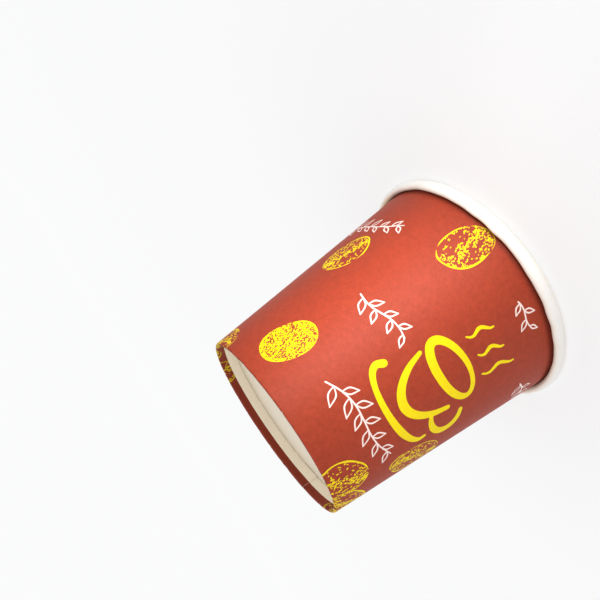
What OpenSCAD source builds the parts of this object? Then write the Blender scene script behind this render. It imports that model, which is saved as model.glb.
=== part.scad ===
// Small paper cup for hot drinks, standing on its rolled rim with its foot up.
// The origin is the middle of the rim, on the surface that the cup stands on, and +Z runs up the axis to the foot.

/* [Cup] */
// Height, from the rim to the fold round the foot
cup_h = 60; // [45:1:90]
// Outside diameter over the rolled rim
rim_d = 62; // [56:0.5:80]
// Outside diameter of the fold round the foot
foot_d = 45.5; // [36:0.5:50]

/* [Paper] */
// Thickness of the side wall's paper
wall_t = 0.3; // [0.2:0.02:0.4]
// Thickness of the base disc's paper
disc_t = 0.3; // [0.2:0.02:0.4]
// Glue line on each side of the base disc's flange
glue_t = 0.02; // [0.02:0.01:0.06]

/* [Rolled rim] */
// Outside diameter of the roll
roll_d = 2.5; // [2.2:0.1:3.6]
// Gap between the wall and the paper that comes back to it
roll_gap = 0.1; // [0.06:0.02:0.2]
// Angle that the paper turns through, from where it leaves the wall to its cut edge
roll_turn = 390; // [330:5:390]

/* [Side seam] */
// Place of the outer layer's cut edge, as an angle from +X
lap_at = 137; // [0:1:359]
// Width of the glued overlap, halfway up the wall
lap_w = 5.5; // [4:0.5:9]
// Width over which the outer layer comes down to the wall beside the overlap
ramp_w = 2.4; // [2:0.1:2.8]
// Depth below the top of the foot's fold at which the overlap is pressed away
lap_press = 0.06; // [0.04:0.01:0.1]
// Height of the pressed overlap on the hem
hem_lap_t = 0.12; // [0.06:0.02:0.2]

/* [Base] */
// Depth from the foot's fold down to the base disc
recess_h = 4.5; // [3.5:0.1:8]
// Inside radius of the bend between the disc and its flange
bend_r = 0.5; // [0.3:0.05:0.8]
// Gap between the hem's cut edge and that bend
hem_gap = 0.15; // [0.1:0.05:0.6]
// Gap between the flange's cut edge and the inside of the foot's fold
flange_gap = 0.1; // [0.05:0.05:0.5]
// Depth to which the fold is pressed flat where the cup stands on it
foot_press = 0.04; // [0.02:0.01:0.08]

/* [Hidden] */

arc_fn = 48;
turn_fn = 144;

// The fold round the foot wraps the base disc's flange and its two glue lines
fold_r = wall_t + glue_t + disc_t / 2;
fold_at = [foot_d / 2 - fold_r, cup_h + foot_press - fold_r];

// The roll starts with half a turn at its full radius and goes on tighter, to clear the wall
roll_r = roll_d / 2;
roll_tight_r = roll_r - (wall_t + roll_gap) / 2;
roll_at = [rim_d / 2 - roll_r, roll_r];

// The wall's outside line touches the fold from outside and the roll's hollow from inside
centre_gap = norm(roll_at - fold_at);
centre_dir = atan2(roll_at[1] - fold_at[1], roll_at[0] - fold_at[0]);
wall_dir = centre_dir - asin((fold_r + roll_r - wall_t) / centre_gap);
wall_run = sqrt(pow(centre_gap, 2) - pow(fold_r + roll_r - wall_t, 2));
taper = 90 + wall_dir;

// The base disc's bend, as a place along the wall and across it, and the length of the hem beside it
disc_z = cup_h - recess_h;
bend_across = -disc_t / 2 - bend_r;
bend_run = (fold_at[1] + bend_across * sin(taper) - disc_z - bend_r) / cos(taper);
bend_x = fold_at[0] + bend_run * sin(taper) + bend_across * cos(taper);
hem_run = bend_run - hem_gap;

// Apex of the cone that the wall's outside lies on, and the seam's angles, taken halfway up the wall
apex_z = fold_at[1] + fold_r * sin(taper) + (fold_at[0] + fold_r * cos(taper)) / tan(taper);
mid_r = (apex_z - cup_h / 2) * tan(taper);
lap_deg = lap_w / mid_r * 180 / PI;
ramp_deg = ramp_w / mid_r * 180 / PI;

// The ramp is flat: its plane meets the wall at the ramp's foot and the overlap's face at its top
ramp_lean = ramp_deg / 2 - wall_t / ramp_w * 180 / PI;
ramp_taper = atan(tan(taper) * cos(ramp_lean));

// Carries a flat shape to the foot's fold, with its X along the wall to the rim and its Y out of the cup
module along_wall() {
    translate(fold_at) rotate(wall_dir) children();
}

// Everything in a section that is some depth below the foot
module below_foot(depth) {
    translate([0, -roll_d]) square([rim_d, cup_h - depth + roll_d]);
}

// Part of a ring of paper, from one angle to another, as a flat shape
module arc_band(outer_r, paper_t, from, to) {
    steps = 6;
    intersection() {
        difference() {
            circle(r = outer_r, $fn = arc_fn);
            circle(r = outer_r - paper_t, $fn = arc_fn);
        }
        polygon(concat([[0, 0]], [for (i = [0:steps]) let (a = from + (to - from) * i / steps)
            2 * outer_r * [cos(a), sin(a)]]));
    }
}

// Section through the side wall's blank: wall, fold and hem at the foot, roll at the rim
module wall_section() {
    intersection() {
        along_wall() {
            translate([0, fold_r - wall_t]) square([wall_run, wall_t]);
            translate([0, -fold_r]) square([hem_run, wall_t]);
            arc_band(fold_r, wall_t, 90, 270);
            translate([wall_run, fold_r - wall_t + roll_r]) {
                arc_band(roll_r, wall_t, -90, 90);
                translate([0, roll_r - roll_tight_r]) arc_band(roll_tight_r, wall_t, 90, roll_turn - 90);
            }
        }
        below_foot(0);
    }
}

// Section through the overlap's outer layer, bedded in the wall and pressed away at the top of the fold
module lap_section() {
    bed = wall_t / 2;
    intersection() {
        along_wall() {
            translate([0, fold_r - bed]) square([wall_run - roll_tight_r / 4, bed + wall_t]);
            arc_band(fold_r + wall_t, bed + wall_t, 90, 180);
        }
        below_foot(lap_press);
    }
}

// Section through the overlap on the hem
module hem_lap_section() {
    bed = wall_t / 2;
    along_wall() translate([0, -fold_r - hem_lap_t]) square([hem_run, bed + hem_lap_t]);
}

// Section through the wall where the outer layer lifts off the inside, short of the fold and of the roll
module lift_section() {
    lift_run = wall_run - roll_r - wall_t;
    along_wall() translate([wall_t, fold_r - 2 * wall_t]) square([lift_run, 2 * wall_t]);
}

// Everything beyond the ramp's plane, or beyond one sunk below it
module beyond_ramp(sunk = 0) {
    span = rim_d + cup_h + apex_z;
    rotate(ramp_lean) translate([0, 0, apex_z]) rotate([0, -ramp_taper, 0])
        translate([-sunk, -span / 2, -span]) cube(span);
}

// A section swept from the ramp's foot over some angle of the seam
module seam_sweep(from, to) {
    rotate(from) rotate_extrude(angle = to - from, $fn = turn_fn) children();
}

// The blank rolled into a cone, its overlapped seam, its rolled rim and its hem
module side_wall() {
    color("firebrick") rotate(lap_at - lap_deg - ramp_deg) difference() {
        union() {
            rotate_extrude($fn = turn_fn) wall_section();
            difference() {
                seam_sweep(0, ramp_deg + lap_deg) lap_section();
                beyond_ramp();
            }
            seam_sweep(ramp_deg, ramp_deg + lap_deg) hem_lap_section();
        }
        difference() {
            seam_sweep(0, ramp_deg) lift_section();
            beyond_ramp(wall_t);
        }
    }
}

// Section through the disc, its bend and the flange that the hem holds
module disc_section() {
    outer_r = bend_r + disc_t;
    flange_run = bend_run - flange_gap;
    translate([0, disc_z - disc_t]) square([bend_x, disc_t]);
    translate([bend_x, disc_z + bend_r]) {
        difference() {
            arc_band(outer_r, disc_t, -90, 90);
            rotate(wall_dir) translate([-2 * outer_r, 0]) square(2 * outer_r);
        }
        rotate(wall_dir) translate([-flange_run, bend_r]) square([flange_run, disc_t]);
    }
}

module base_disc() {
    color("antiquewhite") rotate_extrude($fn = turn_fn) disc_section();
}

side_wall();
base_disc();
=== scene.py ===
import math
import random

import bpy
import numpy as np
from mathutils import Matrix, Vector
from mathutils.geometry import delaunay_2d_cdt


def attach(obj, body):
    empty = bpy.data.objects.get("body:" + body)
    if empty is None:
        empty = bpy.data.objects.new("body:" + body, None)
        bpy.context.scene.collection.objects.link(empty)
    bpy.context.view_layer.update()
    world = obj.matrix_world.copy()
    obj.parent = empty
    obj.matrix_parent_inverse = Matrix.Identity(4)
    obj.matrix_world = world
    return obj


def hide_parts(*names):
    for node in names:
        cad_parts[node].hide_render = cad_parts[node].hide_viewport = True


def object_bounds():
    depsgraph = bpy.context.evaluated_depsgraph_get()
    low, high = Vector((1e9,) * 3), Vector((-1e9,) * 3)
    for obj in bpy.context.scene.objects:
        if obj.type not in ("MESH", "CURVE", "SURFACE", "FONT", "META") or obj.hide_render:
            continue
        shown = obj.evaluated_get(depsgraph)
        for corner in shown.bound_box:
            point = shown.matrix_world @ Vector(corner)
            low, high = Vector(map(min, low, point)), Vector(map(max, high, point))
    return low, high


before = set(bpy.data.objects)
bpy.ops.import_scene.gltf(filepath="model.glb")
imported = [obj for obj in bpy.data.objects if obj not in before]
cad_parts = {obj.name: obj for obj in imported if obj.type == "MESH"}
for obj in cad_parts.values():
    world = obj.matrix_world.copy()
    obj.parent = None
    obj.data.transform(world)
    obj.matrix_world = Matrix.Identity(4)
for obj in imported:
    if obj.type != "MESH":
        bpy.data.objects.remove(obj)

# A small printed paper cup, standing on its rolled rim with its foot up.
# Shapes are worked out in mm and degrees, and become metres as a mesh is made.

MM = 0.001
cad_low, cad_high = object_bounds()

# Sizes of the cup: the height and the rim come from the frame, and the rest are as in part.scad
CUP_H = cad_high.z / MM
RIM_D = (cad_high.x - cad_low.x) / MM
FOOT_D = 45.5
WALL_T = 0.3
DISC_T = 0.3
GLUE_T = 0.02
FOOT_PRESS = 0.04
ROLL_D = 2.5
ROLL_GAP = 0.1
ROLL_TURN = math.radians(390)
LAP_AT = math.radians(137)
LAP_W = 5.5
RAMP_W = 2.4
HEM_LAP_T = 0.12
RECESS_H = 4.5
BEND_R = 0.5
FLANGE_GAP = 0.1

# The hem's cut edge goes on past the start of the disc's bend, so no groove is open there
HEM_OVER = 0.35

# How far the seam's outer layer stands out over the top of the fold, and where the fold meets the wall
LAP_ON_FOLD = 0.03
LAP_BELOW_FOLD = 0.8 * WALL_T

# The section through the side wall, worked out as in part.scad
fold_r = WALL_T + GLUE_T + DISC_T / 2
fold_at = (FOOT_D / 2 - fold_r, CUP_H + FOOT_PRESS - fold_r)
roll_r = ROLL_D / 2
roll_tight_r = roll_r - (WALL_T + ROLL_GAP) / 2
roll_at = (RIM_D / 2 - roll_r, roll_r)
centre_gap = math.dist(roll_at, fold_at)
centre_dir = math.atan2(roll_at[1] - fold_at[1], roll_at[0] - fold_at[0])
wall_dir = centre_dir - math.asin((fold_r + roll_r - WALL_T) / centre_gap)
wall_run = math.sqrt(centre_gap ** 2 - (fold_r + roll_r - WALL_T) ** 2)
taper = math.pi / 2 + wall_dir
disc_z = CUP_H - RECESS_H
bend_across = -DISC_T / 2 - BEND_R
bend_run = (fold_at[1] + bend_across * math.sin(taper) - disc_z - BEND_R) / math.cos(taper)
hem_run = bend_run + HEM_OVER

# The middle of the wall's paper, by path length from the top of the fold towards the rim
fold_mid_r = fold_r - WALL_T / 2
roll_mid_r = roll_r - WALL_T / 2
tight_mid_r = roll_tight_r - WALL_T / 2
fold_run = math.pi * fold_mid_r
roll_from = wall_run + math.pi * roll_mid_r
hem_edge = -fold_run - hem_run
rim_edge = roll_from + (ROLL_TURN - math.pi) * tight_mid_r


def to_section(along, across):
    """Radius and height of a place that is given along the wall and across it."""
    radius = fold_at[0] + along * math.cos(wall_dir) - across * math.sin(wall_dir)
    height = fold_at[1] + along * math.sin(wall_dir) + across * math.cos(wall_dir)
    return radius, height


def wall_radius(run):
    """Radius of the wall's printed face at a path length."""
    return to_section(run, fold_r)[0]


# The blank starts at the outer layer's cut edge and ends at the inner layer's, past a whole turn
mid_r = wall_radius(wall_run / 2)
lap_turn = LAP_W / mid_r
ramp_turn = RAMP_W / mid_r
blank_turn = 2 * math.pi + lap_turn

# The red ends a little way down the hem, and out of sight in the roll
RED_ON_HEM = 1.5
RED_IN_ROLL = 1.8
red_from = -fold_run - RED_ON_HEM
red_to = wall_run + RED_IN_ROLL

RED, YELLOW, WHITE, BARE, CUT, HEM = range(6)


def waves(seed, counts, size):
    """A smooth seeded line round the cup, between about -size and size."""
    draw = random.Random(seed)
    terms = [(n, draw.uniform(0, 2 * math.pi), draw.uniform(0.6, 1)) for n in counts]
    share = size / sum(weight for _, _, weight in terms)
    return lambda turn: share * sum(weight * np.sin(n * turn + phase) for n, phase, weight in terms)


# The rim is a little out of round, by up to this many mm
RIM_WAVE = waves(3, (2, 3, 5), 0.16)

# The roll is an upright oval, as shares of the round one, and is wound tighter in some places than
# in others. Its upper half shows that most, and the lower half and the width follow by a small share.
ROLL_TALL = 1.36
ROLL_WIDE = 0.92
ROLL_WAVE = waves(11, (7, 13, 19, 27, 34), 0.3)
ROLL_FOLLOWS = 0.15

# The taller roll still stands on the floor, so the last stretch of the wall above it is shorter
ROLL_LIFT = roll_mid_r * (ROLL_TALL - 1)
LIFT_RUN = 3.0


def paper_path(run):
    """The middle of the wall's paper, along and across the wall, and the way its printed side faces."""
    fold_a = math.pi / 2 - run / fold_mid_r
    roll_a = -math.pi / 2 + (run - wall_run) / roll_mid_r
    tight_a = math.pi / 2 + (run - roll_from) / tight_mid_r
    roll_y = fold_r - WALL_T + roll_r
    tight_y = roll_y + roll_r - roll_tight_r
    where = [run < -fold_run, run < 0, run < wall_run, run < roll_from]
    flat = np.zeros_like(run)
    along = np.select(where, [-run - fold_run, fold_mid_r * np.cos(fold_a), run,
                              wall_run + roll_mid_r * np.cos(roll_a)],
                      wall_run + tight_mid_r * np.cos(tight_a))
    across = np.select(where, [flat - fold_mid_r, fold_mid_r * np.sin(fold_a), flat + fold_mid_r,
                               roll_y + roll_mid_r * np.sin(roll_a)],
                       tight_y + tight_mid_r * np.sin(tight_a))
    face_along = np.select(where, [flat, np.cos(fold_a), flat, -np.cos(roll_a)], -np.cos(tight_a))
    face_across = np.select(where, [flat - 1, np.sin(fold_a), flat + 1, -np.sin(roll_a)],
                            -np.sin(tight_a))
    return along, across, face_along, face_across


def seam_lift(turn, run):
    """How far the paper stands out over the layer below it, by turn from the outer cut edge."""
    down = np.clip((lap_turn + ramp_turn - turn) / ramp_turn, 0, 1)
    down = down * down * (3 - 2 * down)
    stand = np.interp(run, [-fold_run, -fold_run / 2, 0, 2 * fold_r],
                      [HEM_LAP_T, LAP_ON_FOLD, LAP_BELOW_FOLD, WALL_T + GLUE_T])
    return down * stand


def sheet_place(turn, run, side):
    """Places on the wall's paper, in mm: side is 1 on the printed face and -1 on the plain one."""
    along, across, face_along, face_across = paper_path(run)
    angle = LAP_AT - turn
    wave = ROLL_WAVE(angle)
    rolled = run > wall_run
    tall = ROLL_TALL + wave * np.where(along < wall_run, 1, ROLL_FOLLOWS)
    wide = ROLL_WIDE + wave * ROLL_FOLLOWS
    lift = ROLL_LIFT * np.clip((run - wall_run) / LIFT_RUN + 1, 0, 1)
    along = np.where(rolled, wall_run + (along - wall_run) * tall, along) - lift
    across = np.where(rolled, fold_mid_r + (across - fold_mid_r) * wide, across)
    off = seam_lift(turn, run) + side * WALL_T / 2
    radius, height = to_section(along + off * face_along, across + off * face_across)
    radius = radius + RIM_WAVE(angle) * np.clip(run / wall_run, 0, 1) ** 2
    height = np.clip(height, 0, CUP_H)
    return np.stack([radius * np.cos(angle), radius * np.sin(angle), height], axis=-1)


def sheet_normal(turn, run, side):
    """The way that each place on the wall's paper faces."""
    step = 1e-4
    across = sheet_place(turn + step, run, side) - sheet_place(turn - step, run, side)
    down = sheet_place(turn, run + step, side) - sheet_place(turn, run - step, side)
    facing = np.cross(across, down) * side
    return facing / np.linalg.norm(facing, axis=-1, keepdims=True)


# The print is drawn flat in mm: x goes round the cup and y goes from the foot to the rim
PEN = 0.36
FLECK_LEAN = 0.35


def turned(x, y, lean):
    """A place on the drawing, turned round its middle by a lean in radians."""
    return x * math.cos(lean) - y * math.sin(lean), x * math.sin(lean) + y * math.cos(lean)


def smooth_line(points, steps):
    """A curve through the points, with the same number of steps in each stretch."""
    points = [np.array(p, float) for p in points]
    chain = [2 * points[0] - points[1]] + points + [2 * points[-1] - points[-2]]
    line = []
    for before, start, end, after in zip(chain, chain[1:], chain[2:], chain[3:]):
        for i in range(steps):
            f = i / steps
            line.append(0.5 * (2 * start + (end - before) * f
                               + (2 * before - 5 * start + 4 * end - after) * f ** 2
                               + (3 * start - before - 3 * end + after) * f ** 3))
    line.append(points[-1])
    return np.array(line)


def brush(points, widths, steps):
    """The outline of a brush stroke with round ends, whose width follows the list of widths."""
    line = smooth_line(points, steps)
    share = np.linspace(0, 1, len(line))
    half = np.interp(share, np.linspace(0, 1, len(widths)), widths) / 2
    heading = np.gradient(line, axis=0)
    heading /= np.linalg.norm(heading, axis=1, keepdims=True)
    side = np.stack([-heading[:, 1], heading[:, 0]], axis=1) * half[:, None]
    cap = np.linspace(0, math.pi, 6)[1:-1]
    end = [line[-1] + side[-1] * math.cos(a) + heading[-1] * half[-1] * math.sin(a) for a in cap]
    start = [line[0] - side[0] * math.cos(a) - heading[0] * half[0] * math.sin(a) for a in cap]
    return np.array(list(line + side) + end + list((line - side)[::-1]) + start)


def arc_line(centre, size, lean, start, end, count):
    """Points along part of an oval: its two half axes, its lean, and the stretch in degrees."""
    places = []
    for a in np.radians(np.linspace(start, end, count)):
        x, y = turned(size[0] * math.cos(a), size[1] * math.sin(a), lean)
        places.append((centre[0] + x, centre[1] + y))
    return places


def fleck(x, y, long, short, lean, draw):
    """A small uneven mark, longer one way than the other."""
    corners = 6
    places = []
    for i in range(corners):
        a = 2 * math.pi * (i + draw.uniform(-0.3, 0.3)) / corners
        off_x, off_y = turned(long / 2 * math.cos(a), short / 2 * math.sin(a), lean)
        places.append((x + off_x, y + off_y))
    return np.array(places)


def bean(length, width, seed, solid):
    """A coffee bean as a speckled print, lying along x: a solid one is filled and then worn."""
    draw = random.Random(seed)
    marks = []
    bend = draw.choice((-1, 1)) * width * draw.uniform(0.05, 0.09)
    phase = [draw.uniform(0, 2 * math.pi) for _ in range(3)]

    def crease(x):
        """How far the bean's crease lies off its middle line."""
        return bend * math.sin(2 * math.pi * x / length)

    def edge(a):
        """The outline at an angle, a little uneven."""
        grow = 1 + 0.02 * sum(math.sin((k + 2) * a + phase[k]) for k in range(3))
        return length / 2 * grow * math.cos(a), width / 2 * grow * math.sin(a)

    def reach(x, y):
        """How far out a place lies, as a share of the way to the edge."""
        return math.hypot(2 * x / length, 2 * y / width)

    def strew(ink, count, chance, sizes):
        """Flecks thrown over the bean, each kept with some chance."""
        for _ in range(count):
            x, y = draw.uniform(-0.5, 0.5) * length, draw.uniform(-0.5, 0.5) * width
            long, short = draw.uniform(*sizes), draw.uniform(0.2, 0.36)
            lean = draw.gauss(FLECK_LEAN, 0.5)
            if reach(x, y) < 0.95 and draw.random() < chance(x, y):
                marks.append((ink, fleck(x, y, long, short, lean, draw)))

    if solid:
        ring = np.linspace(0, 2 * math.pi, 40, endpoint=False)
        marks.append((YELLOW, np.array([edge(a) for a in ring])))
        bare = [(draw.uniform(-0.3, 0.3) * length, draw.uniform(-0.25, 0.25) * width)
                for _ in range(3)]

        def worn(x, y):
            """Likelier near three places where the ink is thin."""
            return 0.5 + 0.5 * max(math.exp(-((x - bx) ** 2 + (y - by) ** 2) / 1.5) for bx, by in bare)

        strew(RED, count=900, chance=worn, sizes=(0.3, 0.8))
        return marks

    outline = [
        # Share of the way round, the gap after it, and the least and greatest width
        (0.46, 0.12, 0.26, 0.5),
        (0.32, 0.3, 0.12, 0.24),
        (0.22, 0.2, 0.18, 0.34),
    ]
    tip = 0.08
    start = draw.uniform(0, 2 * math.pi)
    for share, gap, thin, thick in outline:
        end = start + 2 * math.pi * share - gap
        widths = [tip] + [draw.uniform(thin, thick) for _ in range(6)] + [tip]
        marks.append((YELLOW, brush([edge(a) for a in np.linspace(start, end, 10)], widths, 3)))
        start = end + gap
    heavy_end, heavy_side = draw.choice((-1, 1)), draw.choice((-1, 1))

    def stippled(x, y):
        """Likelier near the crease, at one end, on one side and towards the edge."""
        off = y - crease(x)
        near = math.exp(-(off / (0.095 * width)) ** 2)
        end = max(0.0, heavy_end * 2 * x / length) ** 2
        side = 0.24 if off * heavy_side > 0 else 0.05
        return min(1, near + 0.6 * end + side + 0.3 * reach(x, y) ** 4)

    strew(YELLOW, count=760, chance=stippled, sizes=(0.3, 0.95))
    return marks


def steaming_cup():
    """A cup on its saucer with three wisps of steam, in brush strokes, about 22 mm wide."""
    strokes = [
        # The mouth, the bowl, the handle and the saucer: an arc, and the widths along it
        (arc_line((-1.2, 5.0), (7.4, 3.3), 0.16, -100, 275, 17),
         [1.9, 1.7, 1.2, 1.1, 1.5, 1.9, 2.0, 1.9]),
        (arc_line((-1.2, 3.2), (7.3, 11.0), 0.06, 192, 346, 9), [0.9, 1.5, 1.9, 2.1, 1.9, 1.6, 1.1]),
        (arc_line((7.4, 0.2), (4.6, 3.8), -0.25, 84, -104, 9), [1.1, 1.6, 1.8, 1.6, 0.9]),
        (arc_line((-0.7, -7.4), (10.7, 4.0), 0.1, 158, 368, 11), [1.7, 1.5, 1.2, 1.4, 1.7, 1.3, 0.8]),
    ]
    sway, drift, period, count = 0.5, 0.12, 6, 8
    for x, y, tall in ((-5.4, 10.6, 6.4), (-0.8, 11.2, 6.2), (3.6, 10.6, 8.0)):
        wisp = [(x + sway * math.sin(2 * math.pi * i / period) + drift * i, y + tall * i / count)
                for i in range(count + 1)]
        strokes.append((wisp, [0.35, 0.65, 0.85, 0.7, 0.35]))
    return [(YELLOW, brush(points, widths, 5)) for points, widths in strokes]


def sprig(length, leaf, seed):
    """A thin white sprig of leaves, lying along x."""
    draw = random.Random(seed)
    bow = draw.choice((-1, 1)) * 0.045 * length

    def on_stem(x):
        """A place on the bowed stem."""
        return x, bow * math.sin(2 * math.pi * x / length)

    stem = [on_stem(x) for x in np.linspace(-0.5, 0.5, 7) * length]
    marks = [(WHITE, brush(stem, [PEN, PEN, 0.3], 4))]
    count = max(4, round(length / (0.5 * leaf)))
    for i in range(count):
        root = np.array(on_stem((-0.42 + 0.86 * i / (count - 1)) * length))
        side = 1 if i % 2 else -1
        size = leaf * draw.uniform(0.85, 1.1) * (1.05 - 0.35 * i / count)
        lean = side * draw.uniform(0.8, 1.05)
        along = np.array((math.cos(lean), math.sin(lean)))
        beside = np.array((-along[1], along[0]))
        tip = root + size * along
        for edge in (-1, 1):
            belly = root + 0.45 * size * along + edge * 0.19 * size * beside
            marks.append((WHITE, brush([root, belly, tip], [0.26, PEN, 0.26], 5)))
    return marks


def placed(marks, bearing, height, lean=0.0):
    """Marks laid on the blank, at degrees round from the camera's side and mm above the foot.

    On the blank, x is the turn times the wall's middle radius and y is the path length.
    """
    run = height / math.cos(taper) - fold_r
    seam_bearing = -math.degrees(LAP_AT) - 90
    turn = math.radians((bearing - seam_bearing) % 360)
    stretch = mid_r / wall_radius(run)
    laid = []
    for ink, outline in marks:
        x, y = turned(outline[:, 0], outline[:, 1], lean)
        laid.append((ink, np.stack([turn * mid_r + x * stretch, run + y], axis=1)))
    return laid


def printed_marks():
    """Every mark of the print, in the order in which they cover each other."""
    marks = []
    cups = [
        # Bearing, height
        (30, 28.6),
        (-129, 30.2),
    ]
    for bearing, height in cups:
        marks += placed(steaming_cup(), bearing, height)
    beans = [
        # Bearing, height, length, width, lean, solid
        (-14, 51.0, 13.0, 9.0, 1.45, False),
        (-55, 33.6, 12.5, 8.2, 1.4, False),
        (-31, 9.8, 12.6, 9.0, 1.25, True),
        (66, 20.0, 13.0, 8.6, 1.2, False),
        (47, 3.0, 12.4, 9.6, 1.3, False),
        (70, 2.5, 12.0, 8.6, 0.5, False),
        (-92, 20.0, 14.0, 9.4, 1.0, False),
        (-124, 2.5, 12.0, 9.2, 1.4, False),
        (-99, 5.5, 13.4, 10.0, 1.15, False),
        (-74, 0.6, 12.8, 9.2, 0.2, False),
        (-90, 51.0, 12.6, 8.8, 1.4, False),
        (103, 37.5, 12.6, 8.6, 1.7, False),
        (104, 13.0, 12.6, 9.0, 1.1, True),
        (118, 51.0, 13.0, 9.0, 1.35, False),
        (-156, 49.0, 12.6, 8.6, 1.5, True),
        (167, 30.0, 13.4, 9.0, 1.1, False),
        (160, 8.6, 12.4, 9.4, 1.3, False),
        (90, 0.4, 12.0, 8.8, 0.15, False),
        (-171, 20.5, 12.2, 8.6, 0.9, False),
    ]
    for seed, (bearing, height, length, width, lean, solid) in enumerate(beans):
        marks += placed(bean(length, width, seed, solid), bearing, height, lean)
    sprigs = [
        # Bearing, height, length, leaf, lean
        (-12, 27.8, 13.0, 3.6, 0.06),
        (23, 12.4, 22.0, 4.0, 0.2),
        (25, 53.0, 6.5, 3.0, 0.05),
        (-65, 43.2, 22.0, 3.4, 0.3),
        (-164, 8.6, 20.0, 3.4, 0.25),
        (94, 25.0, 13.0, 3.6, 0.1),
        (74, 50.0, 13.0, 3.4, 0.2),
        (146, 38.0, 18.0, 3.4, 0.25),
    ]
    for seed, (bearing, height, length, leaf, lean) in enumerate(sprigs):
        marks += placed(sprig(length, leaf, seed), bearing, height, lean)
    return marks + worn_fold()


def worn_fold():
    """Small pale flecks along the top of the fold, where the ink has cracked."""
    draw = random.Random(29)
    flecks, scatter = 70, 0.08
    marks = []
    for _ in range(flecks):
        x = draw.uniform(0, blank_turn) * mid_r
        y = -fold_run / 2 + draw.gauss(0, scatter)
        long, short, lean = draw.uniform(0.15, 0.8), draw.uniform(0.04, 0.1), draw.gauss(0, scatter)
        marks.append((WHITE, fleck(x, y, long, short, lean, draw)))
    return marks


def winding(points, outline):
    """How often an outline goes round each point."""
    turns = np.zeros(len(points), int)
    for (x0, y0), (x1, y1) in zip(outline, np.roll(outline, -1, axis=0)):
        left = (x1 - x0) * (points[:, 1] - y0) - (points[:, 0] - x0) * (y1 - y0)
        turns += (y0 <= points[:, 1]) & (y1 > points[:, 1]) & (left > 0)
        turns -= (y0 > points[:, 1]) & (y1 <= points[:, 1]) & (left < 0)
    return turns


def lines_over(*stretches):
    """Values over some stretches, each given as its two ends and its number of steps."""
    values = [np.linspace(start, end, steps, endpoint=False) for start, end, steps in stretches]
    return np.concatenate(values + [[stretches[-1][1]]])


def grid_border(wide, high):
    """The places round the border of a grid, in order, when its rows are counted one after another."""
    border = list(range(wide))
    border += [j * wide + wide - 1 for j in range(1, high)]
    border += [(high - 1) * wide + i for i in range(wide - 2, -1, -1)]
    border += [j * wide for j in range(high - 2, 0, -1)]
    return border


def inks_at(points, marks):
    """The ink at each point, in order along x: the last mark that covers it, or else the ground's."""
    inks = np.where(points[:, 1] < red_from, HEM, np.where(points[:, 1] < red_to, RED, BARE))
    for ink, outline in marks:
        (left, bottom), (right, top) = outline.min(axis=0), outline.max(axis=0)
        first, last = np.searchsorted(points[:, 0], (left, right))
        near = points[first:last]
        level = (near[:, 1] > bottom) & (near[:, 1] < top)
        within = winding(near[level], outline) != 0
        inks[first + np.nonzero(level)[0][within]] = ink
    return inks


def printed_face(columns, rows, marks):
    """The blank's printed face in triangles, with the outlines of the marks among their edges.

    It gives their corners, the triangles and their inks, and then the border of the grid that the
    plain face shares: as places in that grid, and as corners of this face.
    """
    wide = len(columns)
    points = [(turn * mid_r, run) for run in rows for turn in columns]
    border = grid_border(wide, len(rows))
    edges = list(zip(border, border[1:] + border[:1]))
    for row in (red_from, red_to):
        j = int(np.argmin(np.abs(rows - row)))
        edges += [(j * wide + i, j * wide + i + 1) for i in range(wide - 1)]
    margin, same_place = 0.05, 1e-5
    low_corner = (columns[0] * mid_r + margin, red_from)
    high_corner = (columns[-1] * mid_r - margin, red_to)
    marks = [(ink, np.clip(outline, low_corner, high_corner)) for ink, outline in marks]
    for _, outline in marks:
        first = len(points)
        points += [tuple(p) for p in outline]
        edges += [(first + i, first + (i + 1) % len(outline)) for i in range(len(outline))]
    vectors = [Vector(p) for p in points]
    corners, _, faces, sources, *_ = delaunay_2d_cdt(vectors, edges, [], 0, same_place)
    found = {source: i for i, group in enumerate(sources) for source in group}
    corners = np.array([tuple(p) for p in corners])
    faces = np.array([tuple(f) for f in faces])
    middle = corners[faces].mean(axis=1)
    order = np.argsort(middle[:, 0])
    return corners, faces[order], inks_at(middle[order], marks), border, [found[k] for k in border]


def new_object(name, places, faces, materials, slots):
    """A smooth mesh object in the scene, from places in mm and the material slot of each face."""
    mesh = bpy.data.meshes.new(name)
    mesh.from_pydata((np.array(places) * MM).tolist(), [], faces)
    for material in materials:
        mesh.materials.append(material)
    mesh.polygons.foreach_set("material_index", np.array(slots, np.int32))
    mesh.polygons.foreach_set("use_smooth", [True] * len(faces))
    made = bpy.data.objects.new(name, mesh)
    bpy.context.scene.collection.objects.link(made)
    return made


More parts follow.
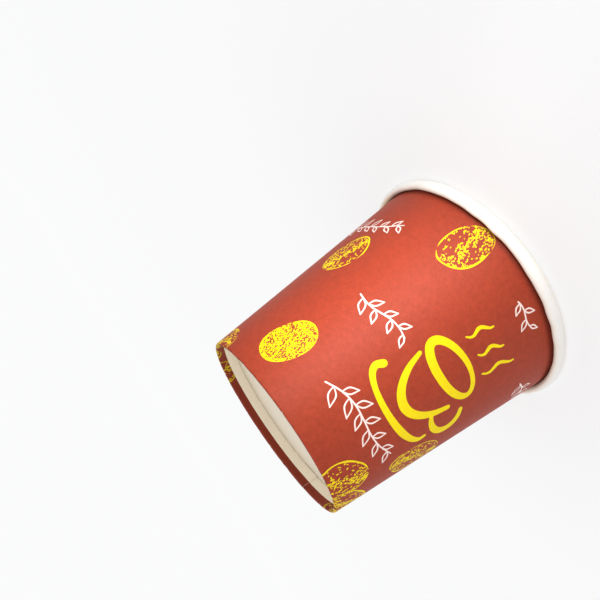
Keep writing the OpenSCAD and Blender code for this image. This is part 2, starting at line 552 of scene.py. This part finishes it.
def cup_wall(materials):
    """The blank as one closed sheet: printed face, plain face and cut edges."""
    columns = lines_over((0, lap_turn, 6), (lap_turn, lap_turn + ramp_turn, 8),
                         (lap_turn + ramp_turn, 2 * math.pi, 138), (2 * math.pi, blank_turn, 6))
    rows = lines_over((hem_edge, red_from, 4), (red_from, -fold_run, 3), (-fold_run, 0, 12),
                      (0, wall_run, 34), (wall_run, red_to, 10), (red_to, roll_from, 10),
                      (roll_from, rim_edge, 20))
    corners, triangles, inks, border, rim = printed_face(columns, rows, printed_marks())
    wide, first = len(columns), len(corners)
    turn, run = corners[:, 0] / mid_r, corners[:, 1]
    grid_turn, grid_run = (values.ravel() for values in np.meshgrid(columns, rows))
    places = np.concatenate([sheet_place(turn, run, 1), sheet_place(grid_turn, grid_run, -1)])
    normals = np.concatenate([sheet_normal(turn, run, 1), sheet_normal(grid_turn, grid_run, -1)])
    front_faces = [tuple(int(v) for v in f) for f in triangles]
    back_faces = []
    for j in range(len(rows) - 1):
        for i in range(wide - 1):
            k = first + j * wide + i
            back_faces.append((k, k + wide, k + wide + 1, k + 1))
    cut_faces = []
    for i, here in enumerate(border):
        after = (i + 1) % len(border)
        cut_faces.append((rim[i], first + here, first + border[after], rim[after]))
    corner_normals = [normals[v] for f in front_faces + back_faces for v in f]
    for f in cut_faces:
        a, b, c, d = (places[v] for v in f)
        facing = np.cross(c - a, d - b)
        facing /= np.linalg.norm(facing) or 1
        corner_normals += [facing] * 4
    slots = list(inks) + [BARE] * len(back_faces) + [CUT] * len(cut_faces)
    wall = new_object("cup_wall", places, front_faces + back_faces + cut_faces, materials, slots)
    wall.data.normals_split_custom_set([tuple(n) for n in corner_normals])
    wall.data.update()
    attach(wall, "root")
    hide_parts("side_wall")
    return wall


# The base disc has a shallow dish and slow swells, and wrinkles in a narrow ring beside its bend
DISC_DISH = 0.35
DISC_SWELL = waves(7, (1, 2, 3), 0.08)
WRINKLES = waves(5, (31, 43, 58, 67, 83), 0.07)
WRINKLED = 1.3


def base_path(steps_in, steps_bend, steps_flange):
    """The middle of the base disc's paper from its centre to the flange's edge, in section."""
    bend_at = to_section(bend_run, bend_across)
    bend_mid_r = BEND_R + DISC_T / 2
    flat = [(bend_at[0] * i / steps_in, disc_z - DISC_T / 2) for i in range(steps_in)]
    centre = (bend_at[0], disc_z + BEND_R)
    sweep = math.pi / 2 - taper
    bend = []
    for i in range(steps_bend + 1):
        a = -math.pi / 2 + sweep * i / steps_bend
        bend.append((centre[0] + bend_mid_r * math.cos(a), centre[1] + bend_mid_r * math.sin(a)))
    flange = []
    for i in range(1, steps_flange + 1):
        along = bend_run + (FLANGE_GAP - bend_run) * i / steps_flange
        flange.append(to_section(along, 0))
    return flat + bend + flange


def cup_base(materials):
    """The disc with its bent-up flange, as one closed sheet with a cut edge."""
    around, steps_in = 240, 26
    path = np.array(base_path(steps_in, steps_bend=8, steps_flange=5))
    heading = np.gradient(path, axis=0)
    heading /= np.linalg.norm(heading, axis=1, keepdims=True)
    across = np.stack([-heading[:, 1], heading[:, 0]], axis=1)
    places, faces = [], []
    edge_r = path[steps_in][0]
    for side in (1, -1):
        for k, ((radius, height), (face_r, face_z)) in enumerate(zip(path, across)):
            r0, z0 = radius + side * face_r * DISC_T / 2, height + side * face_z * DISC_T / 2
            if k == 0:
                places.append((0, 0, z0 - DISC_DISH))
                continue
            out = min(1.0, radius / edge_r)
            dish = DISC_DISH * (1 - out ** 2)
            swell = math.sin(math.pi * (1 - out))
            near_bend = math.exp(-((edge_r - radius) / WRINKLED) ** 2) if out < 1 else 0
            for i in range(around):
                a = 2 * math.pi * i / around
                z = z0 - dish + WRINKLES(a) * near_bend + DISC_SWELL(a) * swell
                places.append((r0 * math.cos(a), r0 * math.sin(a), z))
    rings = len(path) - 1
    back = 1 + rings * around
    for middle, flip in ((0, False), (back, True)):
        for i in range(around):
            after = (i + 1) % around
            tri = (middle, middle + 1 + i, middle + 1 + after)
            faces.append(tri[::-1] if flip else tri)
            for k in range(rings - 1):
                low, high = middle + 1 + k * around, middle + 1 + (k + 1) * around
                quad = (low + i, high + i, high + after, low + after)
                faces.append(quad[::-1] if flip else quad)
    top, low = 1 + (rings - 1) * around, back + 1 + (rings - 1) * around
    cut_from = len(faces)
    for i in range(around):
        after = (i + 1) % around
        faces.append((top + i, low + i, low + after, top + after))
    base = new_object("cup_base", places, faces, materials, [0] * cut_from + [1] * around)
    base.data.set_sharp_from_angle(angle=math.radians(50))
    base.data.update()
    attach(base, "root")
    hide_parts("base_disc")
    return base


def node_of(tree, kind, at, **values):
    """A shader node with its sockets set by name."""
    node = tree.nodes.new(kind)
    node.location = at
    for name, value in values.items():
        node.inputs[name.replace("_", " ")].default_value = value
    return node


def math_of(tree, kind, operation, at, *terms):
    """The socket that a math node gives out; its terms are numbers, vectors or other sockets."""
    node = node_of(tree, kind, at)
    node.operation = operation
    for socket, term in zip(node.inputs, terms):
        if isinstance(term, bpy.types.NodeSocket):
            tree.links.new(term, socket)
        else:
            socket.default_value = term
    gives_value = kind == "ShaderNodeMath" or operation == "LENGTH"
    return node.outputs["Value" if gives_value else "Vector"]


def beyond_wall(tree, coords):
    """Sockets with the distance in metres beyond the wall's printed face, and with the height."""
    radius, height = to_section(0, fold_r)
    widening = math.tan(taper)
    parts = node_of(tree, "ShaderNodeSeparateXYZ", (-850, 500))
    tree.links.new(coords.outputs["Object"], parts.inputs["Vector"])
    flat = math_of(tree, "ShaderNodeVectorMath", "MULTIPLY", (-1050, 700), coords.outputs["Object"],
                   (1, 1, 0))
    away = math_of(tree, "ShaderNodeVectorMath", "LENGTH", (-850, 700), flat)
    along = math_of(tree, "ShaderNodeMath", "MULTIPLY_ADD", (-670, 600), parts.outputs["Z"],
                    widening, away)
    beyond = math_of(tree, "ShaderNodeMath", "SUBTRACT", (-490, 600), along,
                     (radius + height * widening) * MM)
    return beyond, parts.outputs["Z"]


def painted_shade(tree, coords, shade):
    """A factor of painted shade that falls over the fold and on the hem, and in the corner beside the
    roll.
    """
    folded, flat = -0.32, -0.06
    corner_low, corner_high, corner_shade = 2.8, 4.2, 0.55
    beyond, height = beyond_wall(tree, coords)
    fold = node_of(tree, "ShaderNodeMapRange", (-310, 700), From_Min=folded * MM, From_Max=flat * MM,
                   To_Min=shade, To_Max=1.0)
    corner = node_of(tree, "ShaderNodeMapRange", (-310, 450), From_Min=corner_low * MM,
                     From_Max=corner_high * MM, To_Min=corner_shade, To_Max=1.0)
    corner.interpolation_type = "SMOOTHSTEP"
    tree.links.new(beyond, fold.inputs["Value"])
    tree.links.new(height, corner.inputs["Value"])
    return math_of(tree, "ShaderNodeMath", "MULTIPLY", (-130, 600), fold.outputs["Result"],
                   corner.outputs["Result"])


def painted_roll_shade(tree, coords):
    """White, but with painted shade and painted red reflection on the side of the roll that faces the
    printed wall.
    """
    first, last = -0.03, 2.1
    roll_shades = [
        # Distance beyond the wall's printed face in mm, and the painted shade colour there
        (0.0, (0.72, 0.57, 0.49)),
        (0.4, (0.76, 0.64, 0.54)),
        (1.0, (0.84, 0.76, 0.67)),
        (1.5, (0.94, 0.89, 0.83)),
    ]
    beyond, _ = beyond_wall(tree, coords)
    spread = node_of(tree, "ShaderNodeMapRange", (-310, 700), From_Min=first * MM, From_Max=last * MM)
    ramp = node_of(tree, "ShaderNodeValToRGB", (-310, 450))
    stops = ramp.color_ramp.elements
    for end in stops:
        end.color = (1, 1, 1, 1)
    for beyond_mm, shade_colour in roll_shades:
        stops.new((beyond_mm - first) / (last - first)).color = (*shade_colour, 1)
    tree.links.new(beyond, spread.inputs["Value"])
    tree.links.new(spread.outputs["Result"], ramp.inputs["Fac"])
    return ramp.outputs["Color"]


def paper_material(name, colour, mottle=0.05, roughness=0.5, grain=0.35, specular=0.5, fibre=0.25,
                   shade=None, roll_shaded=False):
    """Paper, bare or printed: its colour is mottled a little and fine fibres stand in its face.

    The fibres' size is in mm. A shade is what remains of the colour on the fold, as painted shade, and
    such paper also gets painted shade beside the roll; roll-shaded paper has the roll's painted shade
    and red reflection.
    """
    cloud_scale, fine_scale = 900.0, 3600.0
    thin, thick = 0.7, 1.3
    fibre_height = 0.01 * MM
    material = bpy.data.materials.new(name)
    material.use_nodes = True
    tree = material.node_tree
    shader = tree.nodes["Principled BSDF"]
    shader.inputs["Roughness"].default_value = roughness
    shader.inputs["Specular IOR Level"].default_value = specular
    coords = node_of(tree, "ShaderNodeTexCoord", (-1100, 0))
    clouds = node_of(tree, "ShaderNodeTexNoise", (-850, 250), Scale=cloud_scale, Detail=3.0,
                     Roughness=0.6)
    fine = node_of(tree, "ShaderNodeTexNoise", (-850, 0), Scale=fine_scale, Detail=3.0, Roughness=0.6)
    fibres = node_of(tree, "ShaderNodeTexNoise", (-850, -250), Scale=1.0 / (fibre * MM), Detail=4.0,
                     Roughness=0.65, Distortion=0.6)
    for texture in (clouds, fine, fibres):
        tree.links.new(coords.outputs["Object"], texture.inputs["Vector"])
    both = math_of(tree, "ShaderNodeMath", "ADD", (-650, 150), clouds.outputs["Fac"],
                   fine.outputs["Fac"])
    spread = node_of(tree, "ShaderNodeMapRange", (-480, 150), From_Min=thin, From_Max=thick)
    tree.links.new(both, spread.inputs["Value"])
    blend = node_of(tree, "ShaderNodeMix", (-280, 150))
    blend.data_type = "RGBA"
    blend.inputs["A"].default_value = (*[c * (1 - mottle) for c in colour], 1)
    blend.inputs["B"].default_value = (*[min(1, c * (1 + mottle)) for c in colour], 1)
    tree.links.new(spread.outputs["Result"], blend.inputs["Factor"])
    shown = blend.outputs["Result"]
    # Painted shade on the fold, the hem and beside the roll, or painted shade and painted red
    # reflection on the roll
    if shade or roll_shaded:
        painted_dim = painted_roll_shade(tree, coords) if roll_shaded else painted_shade(tree, coords, shade)
        shown = math_of(tree, "ShaderNodeVectorMath", "MULTIPLY", (-120, 300), shown, painted_dim)
    tree.links.new(shown, shader.inputs["Base Color"])
    bump = node_of(tree, "ShaderNodeBump", (-280, -200), Strength=grain, Distance=fibre_height)
    tree.links.new(fibres.outputs["Fac"], bump.inputs["Height"])
    tree.links.new(bump.outputs["Normal"], shader.inputs["Normal"])
    return material


def plain_floor():
    """A white floor that glows a little."""
    reach, glow = 4000.0, 0.572
    white = paper_material("floor_white", (0.35, 0.348, 0.345), mottle=0.01, roughness=0.8,
                           specular=0.2)
    shader = white.node_tree.nodes["Principled BSDF"]
    shader.inputs["Emission Color"].default_value = (1, 1, 1, 1)
    shader.inputs["Emission Strength"].default_value = glow
    corners = [(-reach, -reach, 0), (reach, -reach, 0), (reach, reach, 0), (-reach, reach, 0)]
    floor = new_object("floor", corners, [(0, 1, 2, 3)], [white], [0])


def surround():
    """An even white to the camera, and to the cup a light that is brighter overhead."""
    low, overhead = 0.25, 1.5
    world = bpy.data.worlds.new("surround")
    world.use_nodes = True
    tree = world.node_tree
    seen = tree.nodes["Background"]
    seen.inputs["Color"].default_value = (0.964, 0.966, 0.971, 1)
    lit = node_of(tree, "ShaderNodeBackground", (-200, -200), Color=(0.97, 0.98, 1, 1))
    way = node_of(tree, "ShaderNodeTexCoord", (-800, -200))
    parts = node_of(tree, "ShaderNodeSeparateXYZ", (-600, -200))
    rise = node_of(tree, "ShaderNodeMapRange", (-400, -200), To_Min=low, To_Max=overhead)
    tree.links.new(way.outputs["Generated"], parts.inputs["Vector"])
    tree.links.new(parts.outputs["Z"], rise.inputs["Value"])
    tree.links.new(rise.outputs["Result"], lit.inputs["Strength"])
    which = node_of(tree, "ShaderNodeLightPath", (-200, 300))
    both = node_of(tree, "ShaderNodeMixShader", (100, 0))
    tree.links.new(which.outputs["Is Camera Ray"], both.inputs["Fac"])
    tree.links.new(lit.outputs["Background"], both.inputs[1])
    tree.links.new(seen.outputs["Background"], both.inputs[2])
    tree.links.new(both.outputs["Shader"], tree.nodes["World Output"].inputs["Surface"])
    bpy.context.scene.world = world


def key_light():
    """A strip of light close by, upright on the floor, so the foot's recess stays in shade."""
    bearing, away, height = math.radians(20), 0.15, 0.028
    wide, tall = 0.02, 0.066
    key = bpy.data.lights.new("key", "AREA")
    key.shape = "RECTANGLE"
    key.size, key.size_y = wide, tall
    key.spread = math.radians(24)
    key.energy = 0.0089
    key.color = (1.0, 0.985, 0.96)
    lamp = bpy.data.objects.new("key", key)
    side = Vector((math.sin(bearing), -math.cos(bearing), 0))
    lamp.location = away * side + Vector((0, 0, height))
    lamp.rotation_euler = (-side).to_track_quat("-Z", "Y").to_euler()
    lamp.visible_camera = False
    bpy.context.scene.collection.objects.link(lamp)


def camera():
    """The camera as it stood to the photograph's cup, carried into the frame of the standing cup."""
    at = (0, -0.14065, 0.08011)
    # Its turn round the cup's axis, up from looking straight down, and round its line of sight
    heading, pitch, roll = (math.radians(a) for a in (-8.373, 73.114, -123.698))
    turn = (Matrix.Rotation(heading, 4, "Z") @ Matrix.Rotation(pitch, 4, "X")
            @ Matrix.Rotation(roll, 4, "Z"))
    lens = bpy.data.cameras.new("camera")
    lens.sensor_width = 36.0
    lens.lens = 37.04
    lens.clip_start = 0.005
    eye = bpy.data.objects.new("camera", lens)
    eye.matrix_world = Matrix.Translation(at) @ turn
    bpy.context.scene.collection.objects.link(eye)
    bpy.context.scene.camera = eye


bpy.context.scene.view_settings.view_transform = "Standard"
# An ink's shade is painted shade over the fold and the hem, and the inks also get painted shade in the
# corner beside the roll.
red_ink = paper_material("red_print", (0.355, 0.040, 0.013), mottle=0.16, roughness=0.6, specular=0.28,
                         shade=0.66)
yellow_ink = paper_material("yellow_print", (0.92, 0.70, 0.002), mottle=0.04, roughness=0.6,
                            specular=0.2, shade=0.72)
white_ink = paper_material("white_print", (0.92, 0.73, 0.67), mottle=0.03, roughness=0.5)
bare_paper = paper_material("bare_paper", (0.94, 0.91, 0.87), mottle=0.02, roughness=0.6, roll_shaded=True)
# The hem's and the disc's papers are the white paper warmed to cream, as painted shade of the recess;
# the hem's is also set lighter, as painted light against its deeper shade, and the disc's darker.
hem_paper_painted_shading = paper_material("hem_paper_painted_shading", (0.97, 0.88, 0.715), mottle=0.03, roughness=0.6)
disc_paper_painted_shade = paper_material("disc_paper_painted_shade", (0.71, 0.63, 0.495), mottle=0.03, roughness=0.6)
cut_paper = paper_material("cut_edge", (0.78, 0.70, 0.57), mottle=0.12, roughness=0.85, grain=0.9,
                           fibre=0.08)

cup_wall([red_ink, yellow_ink, white_ink, bare_paper, cut_paper, hem_paper_painted_shading])
cup_base([disc_paper_painted_shade, cut_paper])
plain_floor()
surround()
key_light()
camera()
